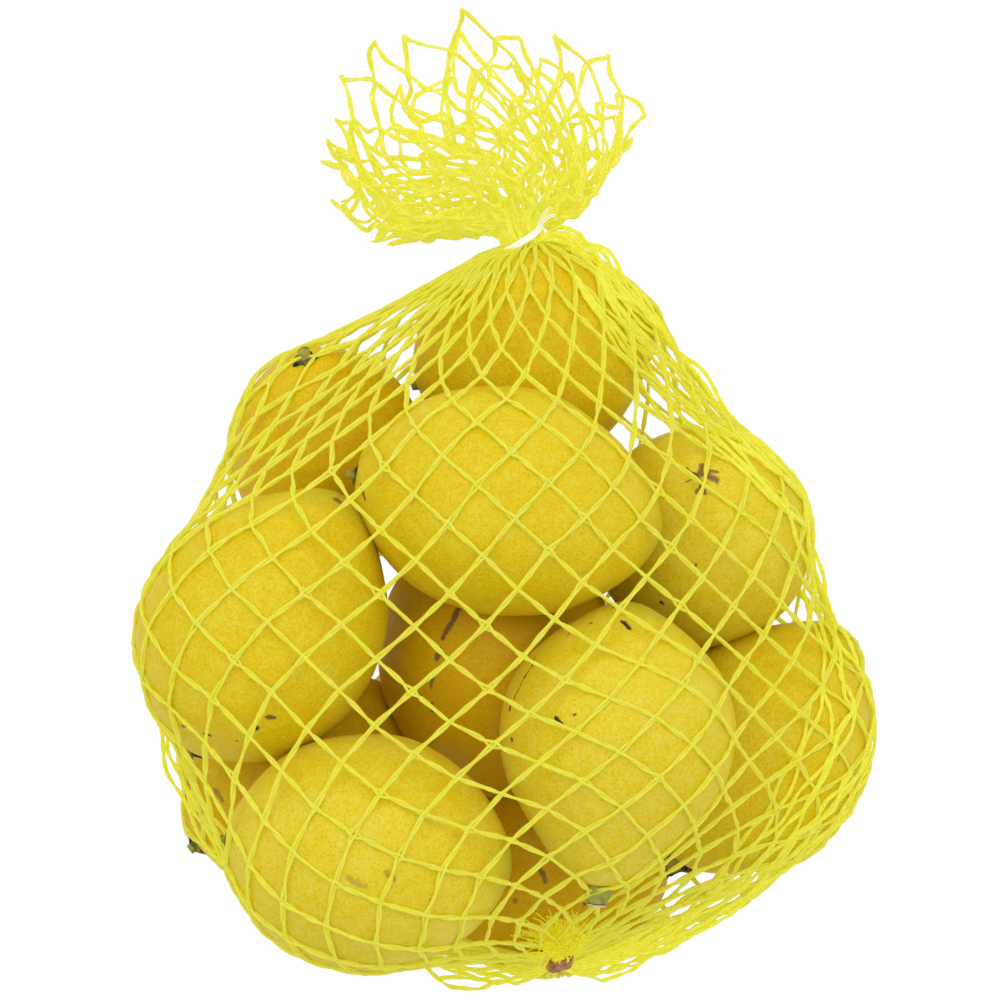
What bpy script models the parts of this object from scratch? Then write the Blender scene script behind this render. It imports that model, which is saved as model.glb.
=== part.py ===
"""A net of lemons, tied at the neck and clipped at the bottom, lying on its back.

Metres, +Z up. +Y runs from the clip to the frill above the tie. The origin is on the floor,
under the middle of the whole. Sizes below are in millimetres and degrees.
"""

import math

import bmesh
import bpy
import numpy as np
from mathutils import Matrix, Vector
from mathutils.bvhtree import BVHTree

MM = 0.001
GAP = 0.3  # between pieces that touch

# The fruit that fills the net: centre, heading and rise of its stem end, length, girth, and the
# rise of the point at its blossom end.
LEMONS = (
    ((5.5, 38.5, 29.5), 195, -15, 68, 57, 5),
    ((-48.3, 11.5, 28), 102, 35, 66, 51, 4),
    ((-64, -33, 69.5), 240, -5, 76, 60, 4),
    ((-1, -0.8, 72.5), 170, 0, 80, 58, 4),
    ((51.6, -10, 33.5), 105, 60, 70, 54, 4),
    ((64.7, -68, 30), 232, 0, 74, 58, 5),
    ((-6, -40.3, 29.5), 94, 0, 72, 57, 5),
    ((-36.5, -89.5, 79), 175, 0, 73, 59.5, 2),
    ((26.5, -63.5, 75), 261, 0, 74, 60, 3),
    ((-58.5, -74, 28), 216, 0, 66, 54, 5),
    ((10.2, -100.2, 27), 5, 0, 68, 52, 5),
)
NIPPLE_SPREAD = 19  # how wide the point is, in degrees
STEM_RISE, STEM_SPREAD = 2.0, 15  # the low shoulder at the stem end
SLACK = (((50, -88.5, 26), 22.5), ((4, -126, 30), 5))  # where loose net stands off the fruit: centre, radius

NET_THICKNESS = 1.0
NECK = (2.8, 69.5, 32)  # the middle of the tie
NECK_RADIUS = 6.5
NECK_HEADING = 112
NECK_HALF_LENGTH = 3.2
CLIP_END = (12, -119.5, 49)  # where the net is gathered at the bottom

AROUND = 68  # steps round the bag
BODY_RINGS = 52  # steps from the neck to the clip
NECK_STEPS = 2  # steps that the neck itself takes up
LEMON_STEPS = 28, 18  # round a lemon and along it
# how far the skin sinks between the lemons, as a share of the hollow and at most, on the bag's sides
# and on its top, where the lemons stand well apart
SIDE_SAG, SIDE_DEEPEST = 0.35, 7
TOP_SAG, TOP_DEEPEST = 1.0, 50
TOP_FROM = 0.5  # how steeply the skin's own direction rises where that is reached
SAG_EASED = 2  # passes that smooth it
FLAT_BELOW = 1.6  # what lies lower than this is flat on the floor

FRILL_LENGTH = 58.5
FRILL_SHORTER = 12  # how much shorter the frill is on its right
FRILL_RINGS = 8
FRILL_UP, FRILL_DOWN = 40, 18  # how far the frill spreads towards and away from the viewer
FRILL_HEADING = 105
FRILL_DISH = 0.3  # depth of its hollow end, as a share of its length
DISH_RINGS = 0.3, 0.65  # where that end has rings, as shares of the way in
# plan angles of its left and right edges: at its root or far out, and how they bend with the reach
LEFT_EDGE, LEFT_BEND, LEFT_REACH, LEFT_POWER = 186, 28, 54, 1.6
RIGHT_EDGE, RIGHT_BEND, RIGHT_REACH = 64, 80, 28
PLEATS = 9
PLEAT_DEPTH = 0.1
TOOTH = 0.05  # unevenness of the cut edge

TIE_HEADING = 120
TIE_RADIUS, TIE_THICKNESS = 7.75, 1.4
TIE_STEPS, TIE_SIDES = 36, 8

STUB_RADIUS = 2.8
STUB_LENGTH = 5.2
STUB_AXIS = (0.03, -0.8, 0.6)
TUFT_AXIS = (0.12, 0.6, 0.8)
TUFT_LENGTH = 14.5
TUFT_HALF_WIDTH, TUFT_HALF_DEPTH = 8.5, 3.2
TUFT_RINGS = 6
TUFT_FIBRES, TUFT_FRAY = 8, 0.12  # bunches round its edge, and how far they stand out
TUFT_BENT_AT = 0.67  # share of its length by which it has turned into its own direction
TUFT_TIP = 1.5
CLIP_WALL = 0.9
CLIP_LOW, CLIP_HIGH = 1.2, 4.6  # along the stub
END_SIDES = 24


def heading(angle, rise=0.0):
    """Unit vector at this angle from +X in plan, raised by this much, both in degrees."""
    turn, lift = math.radians(angle), math.radians(rise)
    return Vector((math.cos(turn) * math.cos(lift), math.sin(turn) * math.cos(lift), math.sin(lift)))


def lemon_radius(angle, length, girth, nipple_rise):
    """Distance from a lemon's middle to its skin, at this angle from the line to its nipple."""
    half = length / 2 - (nipple_rise + STEM_RISE) / 2
    wide = girth / 2
    oval = half * wide / math.hypot(wide * math.cos(angle), half * math.sin(angle))
    nipple = nipple_rise * math.exp(-((angle / math.radians(NIPPLE_SPREAD)) ** 2))
    shoulder = STEM_RISE * math.exp(-(((math.pi - angle) / math.radians(STEM_SPREAD)) ** 2))
    return oval + nipple + shoulder


def add_lemon(mesh, centre, turn, rise, *form):
    """Adds one netted lemon, a globe pushed out to the lemon's form, to the mesh."""
    nipple_way = -heading(turn, rise)
    around, along = LEMON_STEPS
    made = bmesh.ops.create_uvsphere(mesh, u_segments=around, v_segments=along, radius=1)
    aim = Vector((0, 0, 1)).rotation_difference(nipple_way)
    for point in made["verts"]:
        angle = math.acos(max(-1, min(1, point.co.z)))
        reach = lemon_radius(angle, *form) + NET_THICKNESS
        point.co = Vector(centre) + aim @ (point.co * reach)


def ring_points(centre, side, front, half_width, half_depth, count):
    """Points of an oval round the centre, from its side towards its front."""
    turns = [2 * math.pi * step / count for step in range(count)]
    return [centre + side * half_width * math.cos(t) + front * half_depth * math.sin(t) for t in turns]


def axes_across(axis):
    """Two unit vectors across an axis: one near +X and one near +Z, or -Y for an axis that stands up."""
    side = (Vector((1, 0, 0)) - axis * axis.x).normalized()
    return side, side.cross(axis)


def fill_gaps(reach):
    """Gives each place that has no fruit the mean of its neighbours in the grid, from the edges inwards."""
    while np.isnan(reach).any():
        around = [np.roll(reach, 1, 1), np.roll(reach, -1, 1), reach.copy(), reach.copy()]
        around[2][1:] = reach[:-1]
        around[3][:-1] = reach[1:]
        found = ~np.isnan(around)
        mean = np.nansum(around, axis=0) / np.maximum(found.sum(axis=0), 1)
        gaps = np.isnan(reach) & found.any(axis=0)
        reach = np.where(gaps, mean, reach)
    return reach


def body_rings():
    """The filled net from neck to clip: one ring of points for each step between its two ends."""
    fruit = bmesh.new()
    for lemon in LEMONS:
        add_lemon(fruit, *lemon)
    fruit_tree = BVHTree.FromBMesh(fruit)

    neck_way = heading(NECK_HEADING)
    neck, end = Vector(NECK) - neck_way * NECK_HALF_LENGTH, Vector(CLIP_END)
    neck_side, neck_front = axes_across(neck_way)
    for point in ring_points(neck, neck_side, neck_front, NECK_RADIUS, NECK_RADIUS, AROUND):
        fruit.verts.new(point)
    fruit.verts.new(end)
    for centre, radius in SLACK:
        bmesh.ops.create_icosphere(fruit, subdivisions=2, radius=radius, matrix=Matrix.Translation(centre))
    wrap = bmesh.ops.convex_hull(fruit, input=fruit.verts, use_existing_faces=False)
    bmesh.ops.delete(fruit, geom=wrap["geom_interior"], context="VERTS")
    kept = {item for item in wrap["geom"] if isinstance(item, bmesh.types.BMFace)}
    spare = [face for face in fruit.faces if face not in kept]
    bmesh.ops.delete(fruit, geom=spare, context="FACES")
    wrap_tree = BVHTree.FromBMesh(fruit)
    fruit.free()

    middle = (neck + end) / 2
    axis = (neck - end).normalized()
    side, front = axes_across(axis)
    far = (neck - end).length
    outer = np.empty((BODY_RINGS, AROUND))
    skin = np.empty((BODY_RINGS, AROUND))
    ways = []
    for ring in range(BODY_RINGS):
        tilt = math.pi * (ring + NECK_STEPS) / (BODY_RINGS + NECK_STEPS)
        spread = ring_points(Vector(), side, front, math.sin(tilt), math.sin(tilt), AROUND)
        ways.append([axis * math.cos(tilt) + way for way in spread])
        for step, way in enumerate(ways[ring]):
            hull_hit = wrap_tree.ray_cast(middle + way * far, -way)
            fruit_hit = fruit_tree.ray_cast(middle + way * far, -way)
            outer[ring, step] = far - hull_hit[3]
            skin[ring, step] = far - fruit_hit[3] if fruit_hit[0] else np.nan
    skin = fill_gaps(skin)
    on_top = np.array([[way.z for way in row] for row in ways]).clip(0, TOP_FROM) / TOP_FROM
    sag = SIDE_SAG + (TOP_SAG - SIDE_SAG) * on_top
    deepest = SIDE_DEEPEST + (TOP_DEEPEST - SIDE_DEEPEST) * on_top
    hollow = np.minimum((outer - skin) * sag, deepest)
    for _ in range(SAG_EASED):
        hollow = (hollow + np.roll(hollow, 1, 1) + np.roll(hollow, -1, 1)) / 3
        hollow[1:-1] = (hollow[:-2] + hollow[1:-1] + hollow[2:]) / 3
    reach = np.maximum(outer - hollow, skin)
    rings = [[middle + way * r for way, r in zip(*row)] for row in zip(ways, reach)]
    for point in (point for ring in rings for point in ring):
        if point.z < FLAT_BELOW:
            point.z = 0
    side, front = axes_across(-Vector(STUB_AXIS).normalized())
    rings.append(ring_points(end, side, front, STUB_RADIUS, STUB_RADIUS, AROUND))
    return rings


def frill_point(turn, share):
    """A point of the frill: turn goes round the neck, and share runs from the neck to the cut edge."""
    pleat = 1 + PLEAT_DEPTH * share * math.sin(PLEATS * turn)
    length = FRILL_LENGTH - FRILL_SHORTER * max(0, math.cos(turn)) ** 2
    reach = share * length * (1 + TOOTH * math.sin(PLEATS * turn + 1))
    left = LEFT_EDGE - LEFT_BEND * (reach / LEFT_REACH) ** LEFT_POWER
    right = RIGHT_EDGE - RIGHT_BEND * math.exp(-reach / RIGHT_REACH)
    plan = (left + right) / 2 - (left - right) / 2 * math.cos(turn) * pleat
    spread = FRILL_UP if math.sin(turn) > 0 else FRILL_DOWN
    rise = spread * math.sin(turn) * pleat
    return heading(plan, rise) * reach


def frill_rings():
    """The ruffled net above the tie, out to its cut edge and into the shallow hollow of its end."""
    neck_way = heading(NECK_HEADING)
    side, front = axes_across(neck_way)
    start = Vector(NECK) + neck_way * NECK_HALF_LENGTH
    neck = [
        ring_points(Vector(NECK) + neck_way * along, side, front, NECK_RADIUS, NECK_RADIUS, AROUND)
        for along in (-NECK_HALF_LENGTH, NECK_HALF_LENGTH)
    ]
    turns = [2 * math.pi * step / AROUND for step in range(AROUND)]
    rings = []
    for ring in range(1, FRILL_RINGS + 1):
        share = ring / FRILL_RINGS
        rim = ring_points(Vector(), side, front, NECK_RADIUS, NECK_RADIUS, AROUND)
        rings.append(
            [start + base * (1 - share) ** 2 + frill_point(turn, share) for base, turn in zip(rim, turns)]
        )
    edge = rings[-1]
    bottom = start + heading(FRILL_HEADING) * FRILL_LENGTH * (1 - FRILL_DISH)
    for share in DISH_RINGS:
        rings.append([point.lerp(bottom, share) for point in edge])
    return neck + rings, bottom


def skin_rings(name, rings, first_point, last_point, material):
    """A closed solid through rings of points, with a fan to a single point at each end."""
    mesh = bmesh.new()
    loops = [[mesh.verts.new(point * MM) for point in ring] for ring in rings]
    for low, high in zip(loops, loops[1:]):
        for step, corner in enumerate(low):
            mesh.faces.new((low[step - 1], corner, high[step], high[step - 1]))
    for tip, loop in ((first_point, loops[0]), (last_point, loops[-1])):
        apex = mesh.verts.new(tip * MM)
        for step, corner in enumerate(loop):
            mesh.faces.new((loop[step - 1], corner, apex))
    bmesh.ops.recalc_face_normals(mesh, faces=mesh.faces)
    return add_object(name, mesh, material)


def add_object(name, mesh, material):
    data = bpy.data.meshes.new(name)
    mesh.to_mesh(data)
    mesh.free()
    data.shade_smooth()
    data.set_sharp_from_angle(angle=math.radians(50))
    data.materials.append(material)
    item = bpy.data.objects.new(name, data)
    bpy.context.scene.collection.objects.link(item)
    return item


def add_material(name, colour, roughness, metallic=0.0):
    material = bpy.data.materials.new(name)
    material.use_nodes = True
    shader = material.node_tree.nodes["Principled BSDF"]
    shader.inputs["Base Color"].default_value = (*colour, 1)
    shader.inputs["Roughness"].default_value = roughness
    shader.inputs["Metallic"].default_value = metallic
    return material


def add_band(name, centre, axis, profile, steps, material):
    """A ring turned about an axis: profile lists its section's corners as radius and height."""
    side, front = axes_across(axis)
    mesh = bmesh.new()
    loops = []
    for radius, height in profile:
        points = ring_points(centre + axis * height, side, front, radius, radius, steps)
        loops.append([mesh.verts.new(point * MM) for point in points])
    for low, high in zip(loops, loops[1:] + loops[:1]):
        for step, corner in enumerate(low):
            mesh.faces.new((low[step - 1], corner, high[step], high[step - 1]))
    bmesh.ops.recalc_face_normals(mesh, faces=mesh.faces)
    return add_object(name, mesh, material)


def add_net_bag(material):
    """The filled net with its neck and frill."""
    upper, hollow = frill_rings()
    skin_rings("net_bag", body_rings()[::-1] + upper, Vector(CLIP_END), hollow, material)


def add_tie(material):
    """The white band round the neck, turned a little from the neck's own direction."""
    half = TIE_THICKNESS / 2
    turns = [2 * math.pi * step / TIE_SIDES for step in range(TIE_SIDES)]
    profile = [(TIE_RADIUS + half * math.cos(turn), half * math.sin(turn)) for turn in turns]
    add_band("tie", Vector(NECK), heading(TIE_HEADING), profile, TIE_STEPS, material)


def add_clip(material):
    """The metal band that is crimped round the gathered net."""
    inner = STUB_RADIUS + GAP
    outer = inner + CLIP_WALL
    profile = [(inner, CLIP_LOW), (outer, CLIP_LOW), (outer, CLIP_HIGH), (inner, CLIP_HIGH)]
    add_band("clip", Vector(CLIP_END), Vector(STUB_AXIS).normalized(), profile, END_SIDES, material)


def add_net_end(material):
    """The cut end of the net: a stub through the clip that opens into a tuft of strands."""
    stub_way, tuft_way = Vector(STUB_AXIS).normalized(), Vector(TUFT_AXIS).normalized()
    side, front = axes_across(stub_way)
    foot, centre = Vector(CLIP_END) + stub_way * GAP, Vector(CLIP_END) + stub_way * STUB_LENGTH
    rings = [ring_points(end, side, front, STUB_RADIUS, STUB_RADIUS, END_SIDES) for end in (foot, centre)]
    turns = [2 * math.pi * step / END_SIDES for step in range(END_SIDES)]
    for ring in range(1, TUFT_RINGS + 1):
        share = ring / TUFT_RINGS
        way = stub_way.lerp(tuft_way, min(1, share / TUFT_BENT_AT)).normalized()
        centre = centre + way * TUFT_LENGTH / TUFT_RINGS
        side, front = axes_across(way)
        width = STUB_RADIUS + (TUFT_HALF_WIDTH - STUB_RADIUS) * share**0.8
        depth = STUB_RADIUS + (TUFT_HALF_DEPTH - STUB_RADIUS) * share
        oval = ring_points(Vector(), side, front, width, depth, END_SIDES)
        fray = [1 + TUFT_FRAY * share * math.sin(TUFT_FIBRES * turn) for turn in turns]
        rings.append([centre + point * longer for point, longer in zip(oval, fray)])
    skin_rings("net_end", rings, foot, centre + way * TUFT_TIP, material)


def main():
    for item in list(bpy.data.objects):
        bpy.data.objects.remove(item)
    netting = add_material("yellow_netting", (0.85, 0.75, 0.03), 0.45)
    cut_strands = add_material("cut_netting", (0.80, 0.72, 0.02), 0.5)
    band = add_material("white_band", (0.85, 0.85, 0.82), 0.4)
    copper = add_material("copper_clip", (0.55, 0.20, 0.10), 0.35, 1.0)
    add_net_bag(netting)
    add_tie(band)
    add_clip(copper)
    add_net_end(cut_strands)


main()
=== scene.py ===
# Net of lemons: the peel, the knitted net, the band, the clip and the frayed end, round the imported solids.
import math

import bpy
import numpy as np
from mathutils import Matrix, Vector
from mathutils.bvhtree import BVHTree


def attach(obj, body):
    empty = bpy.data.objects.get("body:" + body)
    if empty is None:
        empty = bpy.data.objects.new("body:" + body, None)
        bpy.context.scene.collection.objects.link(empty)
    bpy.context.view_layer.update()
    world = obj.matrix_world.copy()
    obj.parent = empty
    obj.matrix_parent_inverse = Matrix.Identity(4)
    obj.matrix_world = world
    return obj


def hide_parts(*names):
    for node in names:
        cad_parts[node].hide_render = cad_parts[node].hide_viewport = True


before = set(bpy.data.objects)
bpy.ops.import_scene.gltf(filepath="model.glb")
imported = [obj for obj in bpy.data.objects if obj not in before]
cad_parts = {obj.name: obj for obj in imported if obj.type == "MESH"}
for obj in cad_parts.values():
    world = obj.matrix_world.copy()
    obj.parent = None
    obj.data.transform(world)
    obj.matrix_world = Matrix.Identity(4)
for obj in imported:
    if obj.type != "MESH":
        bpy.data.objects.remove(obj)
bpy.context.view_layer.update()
mm = 0.001
chance = np.random.default_rng(11)


class term:
    # an output in a node tree, so that sums over it can be written as sums
    def __init__(self, socket):
        self.socket = socket
        self.tree = socket.id_data

    def __add__(self, other):
        return calc("ADD", self, other)

    def __sub__(self, other):
        return calc("SUBTRACT", self, other)

    def __rsub__(self, other):
        return calc("SUBTRACT", other, self)

    def __mul__(self, other):
        return calc("MULTIPLY", self, other)

    def __truediv__(self, other):
        return calc("DIVIDE", self, other)


def connect(value, socket):
    if isinstance(value, term):
        value.tree.links.new(value.socket, socket)
    else:
        socket.default_value = value


def addNode(tree, kind, inputs=None, output=0, **settings):
    # inputs: socket name or number -> a value or a term; gives back one of the node's outputs
    made = tree.nodes.new(kind)
    for key, value in settings.items():
        setattr(made, key, value)
    for key, value in (inputs or {}).items():
        connect(value, made.inputs[key])
    return term(made.outputs[output])


def treeOf(values):
    return next(value.tree for value in values if isinstance(value, term))


def calc(operation, *values):
    return addNode(treeOf(values), "ShaderNodeMath", dict(enumerate(values)), operation=operation)


def calcVector(operation, *values):
    inputs = dict(zip((0, 3) if operation == "SCALE" else (0, 1), values))
    output = "Value" if operation in ("LENGTH", "DOT_PRODUCT") else "Vector"
    return addNode(treeOf(values), "ShaderNodeVectorMath", inputs, output, operation=operation)


def partsOf(vector):
    outputs = addNode(vector.tree, "ShaderNodeSeparateXYZ", {0: vector}).socket.node.outputs
    return [term(output) for output in outputs]


def noise(place, scale, detail=2.0, output=0):
    inputs = {"Vector": place, "Scale": scale, "Detail": detail}
    return addNode(place.tree, "ShaderNodeTexNoise", inputs, output)


def stray(place, scale, reach, detail=2.0):
    # a random shift that changes from place to place
    away = calcVector("SUBTRACT", noise(place, scale, detail, "Color"), (0.5, 0.5, 0.5))
    return calcVector("SCALE", away, reach)


def rampOver(value, low, high, start=0.0, end=1.0, kind="SMOOTHSTEP"):
    # start where the value is low or less, going over to end where it is high or more
    inputs = {"Value": value, "From Min": low, "From Max": high, "To Min": start, "To Max": end}
    return addNode(value.tree, "ShaderNodeMapRange", inputs, interpolation_type=kind)


def newTree(name, sockets, kind="GeometryNodeTree", result="Geometry"):
    # sockets: label -> (kind, default); gives back the tree and its inputs by label
    tree = bpy.data.node_groups.new(name, kind)
    for label, (socketKind, value) in sockets.items():
        socket = tree.interface.new_socket(label, in_out="INPUT", socket_type="NodeSocket" + socketKind)
        if value is not None:
            socket.default_value = value
    tree.interface.new_socket("Result", in_out="OUTPUT", socket_type="NodeSocket" + result)
    outputs = tree.nodes.new("NodeGroupInput").outputs
    return tree, {label: term(outputs[label]) for label in sockets}


def endTree(tree, result):
    connect(result, tree.nodes.new("NodeGroupOutput").inputs[0])
    return tree


# inputs that several trees have: where the shape goes and which way its Z points, and its material
placing = {"Middle": ("Vector", None), "Turn": ("Rotation", None)}
dressing = {"Finish": ("Material", None)}


def finishTree(given, geometry, smooth=True):
    tree = geometry.tree
    if "Middle" in given:
        inputs = {"Geometry": geometry, "Translation": given["Middle"], "Rotation": given["Turn"]}
        geometry = addNode(tree, "GeometryNodeTransform", inputs)
    if smooth:
        geometry = addNode(tree, "GeometryNodeSetShadeSmooth", {"Geometry": geometry})
    real = addNode(tree, "GeometryNodeRealizeInstances", {"Geometry": geometry})
    dressed = addNode(tree, "GeometryNodeSetMaterial", {"Geometry": real, "Material": given["Finish"]})
    return endTree(tree, dressed)


def keepValue(geometry, name, value):
    inputs = {"Geometry": geometry, "Name": name, "Value": value}
    settings = {"data_type": "FLOAT", "domain": "POINT"}
    return addNode(geometry.tree, "GeometryNodeStoreNamedAttribute", inputs, **settings)


def unitBall(tree, given):
    inputs = {"Segments": given["Steps Round"], "Rings": given["Steps Along"], "Radius": 1.0}
    return addNode(tree, "GeometryNodeMeshUVSphere", inputs)


def sweep(curve, profile):
    inputs = {"Curve": curve, "Profile Curve": profile, "Fill Caps": True}
    return addNode(curve.tree, "GeometryNodeCurveToMesh", inputs)


def buildPiece(name, tree, values, source=None):
    # runs the tree once and keeps its result as a plain mesh
    piece = bpy.data.objects.new(name, source or bpy.data.meshes.new(name))
    bpy.context.scene.collection.objects.link(piece)
    modifier = piece.modifiers.new("shape", "NODES")
    modifier.node_group = tree
    for item in tree.interface.items_tree:
        if item.in_out == "INPUT" and item.name in values:
            modifier[item.identifier] = values[item.name]
    graph = bpy.context.evaluated_depsgraph_get()
    mesh = bpy.data.meshes.new_from_object(piece.evaluated_get(graph))
    piece.modifiers.remove(modifier)
    piece.data = mesh
    mesh.name = name
    return piece


def finishPiece(piece, slot, *nodes):
    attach(piece, "root")
    if nodes:
        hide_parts(*nodes)


def newMaterial(name):
    material = bpy.data.materials.new(name)
    material.use_nodes = True
    return material, material.node_tree


def placeOn(tree):
    # where on the piece a point lies
    return addNode(tree, "ShaderNodeTexCoord", output="Object")


def keptValue(tree, name):
    return addNode(tree, "ShaderNodeAttribute", output="Fac", attribute_name=name)


def setShader(tree, values):
    # values: the shader's sockets -> values or terms
    for label, value in values.items():
        connect(value, tree.nodes["Principled BSDF"].inputs[label])


def mixShaders(tree, amount, kind, values):
    # lays another shader over the first one, as far as the amount says
    first = term(tree.nodes["Principled BSDF"].outputs[0])
    both = addNode(tree, "ShaderNodeMixShader", {0: amount, 1: first, 2: addNode(tree, kind, values)})
    connect(both, tree.nodes["Material Output"].inputs["Surface"])


def colourRamp(value, *stops):
    ramp = value.tree.nodes.new("ShaderNodeValToRGB")
    connect(value, ramp.inputs[0])
    points = ramp.color_ramp.elements
    while len(points) < len(stops):
        points.new(0.5)
    for point, (place, colour) in zip(points, stops):
        point.position = place
        point.color = (*colour, 1)
    return term(ramp.outputs["Color"])


def mixColour(amount, low, high):
    high = high if isinstance(high, term) else (*high, 1)
    return addNode(amount.tree, "ShaderNodeMix", {0: amount, 6: low, 7: high}, 2, data_type="RGBA")


def bump(height, strength, depth):
    inputs = {"Height": height, "Strength": strength, "Distance": depth}
    return addNode(height.tree, "ShaderNodeBump", inputs)


peelLook = {
    # deep is the darkest, most orange peel tone, which painted shade takes the lemons deep in the pile
    # towards
    "deep": (0.71, 0.42, 0.001),
    "main": (0.76, 0.585, 0.005),
    # pale is partly the peel's lighter mottling and partly painted glints of its pores
    "pale": (0.81, 0.7, 0.1),
    "green": (0.42, 0.42, 0.03),
    "mottling": ((60, 3, 0.3), (330, 3, 0.42), (1300, 2, 0.8)),  # scale, detail and strength; the finest one, the grain, also scatters the painted pore glints of the pale tone
    "tone": 0.56,  # between deep and pale at 0, and what 1 adds to it: a riper peel and, on the lemons deep in the pile, painted shade
    "ripeningAndShade": -0.3,
    "poreGap": 0.9 * mm,
    "poreDepth": 0.16 * mm,
    "poreTone": 0.26,
    "poreEdge": (0.1, 0.42),
    "tip": (0.94, 1.0, 0.5),  # where its green starts and is fullest, and how strong it is there
    "roughness": 0.5,
    "shine": 0.18,
    "glow": 0.2,  # light carried through the peel, and how far
    "glowReach": 4 * mm,
}


def makePeel(look):
    material, tree = newMaterial("lemonPeel")
    place = placeOn(tree)
    coarse, medium, grain = [
        (noise(place, scale, detail) - 0.5) * strength for scale, detail, strength in look["mottling"]
    ]
    # how ripe each lemon is, with painted shade added on those deep in the pile: it darkens the peel towards
    # deep orange and takes away its green tip
    ripe = keptValue(tree, "ripenessAndShade")
    tone = coarse + medium + grain + calc("MULTIPLY_ADD", ripe, look["ripeningAndShade"], look["tone"])
    pores = addNode(tree, "ShaderNodeTexVoronoi", {"Vector": place, "Scale": 1 / look["poreGap"]})
    pit = rampOver(pores, *look["poreEdge"])
    tone = tone - (1.0 - pit) * look["poreTone"]
    # the pale end of this ramp carries painted glints of the pores as well as lighter mottling
    colour = colourRamp(tone, (0.1, look["deep"]), (0.5, look["main"]), (0.95, look["pale"]))
    start, full, strength = look["tip"]
    tip = rampOver(keptValue(tree, "alongFruit"), start, full, 0.0, strength, "LINEAR")
    tip = tip * calc("MAXIMUM", 1.0 - ripe, 0.0)
    values = {
        "Base Color": mixColour(tip, colour, look["green"]),
        "Normal": bump(pit * 0.7 + grain * 0.25, 0.6, look["poreDepth"]),
        "Roughness": look["roughness"],
        "Specular IOR Level": look["shine"],
        "Subsurface Weight": look["glow"],
        "Subsurface Scale": look["glowReach"],
        "Subsurface Radius": (1.0, 0.7, 0.03),
    }
    setShader(tree, values)
    return material


nettingLook = {
    "main": (0.86, 0.84, 0.055),
    "pale": (0.89, 0.88, 0.16),
    "wisps": 700,
    "wispDepth": 0.1 * mm,
    "roughness": 0.5,
    "glow": 0.5,
    "selfGlow": 0.1,  # painted glow: emission that stands in for light that the loose net round it would pass on
}
# the loose folds, the frill and the frayed end get more painted glow, standing in for the light that comes
# through them
looseLook = {**nettingLook, "selfGlow": 0.14}
frillLook = {**nettingLook, "main": (0.83, 0.81, 0.065), "pale": (0.86, 0.85, 0.2), "selfGlow": 0.17}
tuftLook = {**nettingLook, "main": (0.84, 0.78, 0.02), "pale": (0.88, 0.85, 0.08), "selfGlow": 0.16}


def makeNetting(name, look):
    material, tree = newMaterial(name)
    wisps = noise(placeOn(tree), look["wisps"])
    colour = colourRamp(wisps, (0.35, look["main"]), (0.7, look["pale"]))
    values = {
        "Base Color": colour,
        # painted glow: the netting gives off its own colour, standing in for light passed through the plastic
        "Emission Color": colour,
        "Emission Strength": 2 * look["selfGlow"],
        "Roughness": look["roughness"],
        "Normal": bump(wisps, 0.5, look["wispDepth"]),
    }
    setShader(tree, values)
    mixShaders(tree, look["glow"], "ShaderNodeBsdfTranslucent", {"Color": colour})
    return material


white = (1, 1, 1, 1)
# the band's emission is painted glow, standing in for light through the thin white plastic
bandLook = {"colour": (0.93, 0.93, 0.91, 1), "roughness": 0.35, "glow": 0.35, "selfGlow": 0.2}


def makeBand(look):
    material, tree = newMaterial("whiteBand")
    values = {
        "Base Color": look["colour"],
        # painted glow: white emission
        "Emission Color": white,
        "Emission Strength": look["selfGlow"],
        "Roughness": look["roughness"],
    }
    setShader(tree, values)
    mixShaders(tree, look["glow"], "ShaderNodeBsdfTranslucent", {"Color": look["colour"]})
    return material


copperLook = {"dull": (0.26, 0.08, 0.02), "bright": (0.56, 0.24, 0.085), "metallic": 0.4, "roughness": 0.45}


def makeCopper(look):
    material, tree = newMaterial("copperClip")
    wear = noise(placeOn(tree), 600, 3)
    values = {
        "Base Color": colourRamp(wear, (0.35, look["dull"]), (0.65, look["bright"])),
        "Metallic": look["metallic"],
        "Roughness": look["roughness"],
    }
    setShader(tree, values)
    return material


stemLook = {
    "dark": (0.035, 0.022, 0.008),
    "main": (0.19, 0.165, 0.03),
    "pale": (0.38, 0.36, 0.08),
    "cut": (0.72, 0.66, 0.48),
    "cutStart": 0.925,  # share of a fresh stub's height
    "line": (0.89, 0.03, 0.7),  # dark, below the cut: its middle, half its width and how strong it is
    "lobeTone": -0.22,
    "stubTone": 0.17,
    "patches": 500,
    "patchDepth": 0.4 * mm,
    "roughness": 0.8,
    "shine": 0.1,
}


def makeStem(look):
    # green-brown and woody in patches, with dark lobes and a pale cut end
    material, tree = newMaterial("driedStem")
    patches = noise(placeOn(tree), look["patches"], 4)
    rim, end = keptValue(tree, "rimPart"), keptValue(tree, "stubPart")
    tone = patches + rim * look["lobeTone"] + calc("GREATER_THAN", end, 0.01) * look["stubTone"]
    colour = colourRamp(tone, (0.3, look["dark"]), (0.47, look["main"]), (0.62, look["pale"]))
    middle, half, strength = look["line"]
    colour = mixColour(calc("COMPARE", end, middle, half) * strength, colour, look["dark"])
    values = {
        "Base Color": mixColour(calc("GREATER_THAN", end, look["cutStart"]), colour, look["cut"]),
        "Roughness": look["roughness"],
        "Specular IOR Level": look["shine"],
        "Normal": bump(patches, 0.8, look["patchDepth"]),
    }
    setShader(tree, values)
    return material


peel = makePeel(peelLook)
netting = makeNetting("yellowNetting", nettingLook)
looseNetting = makeNetting("looseNetting", looseLook)
frillNetting = makeNetting("frillNetting", frillLook)
tuftNetting = makeNetting("tuftNetting", tuftLook)
whiteBand = makeBand(bandLook)
copper = makeCopper(copperLook)
stemSkin = makeStem(stemLook)
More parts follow.
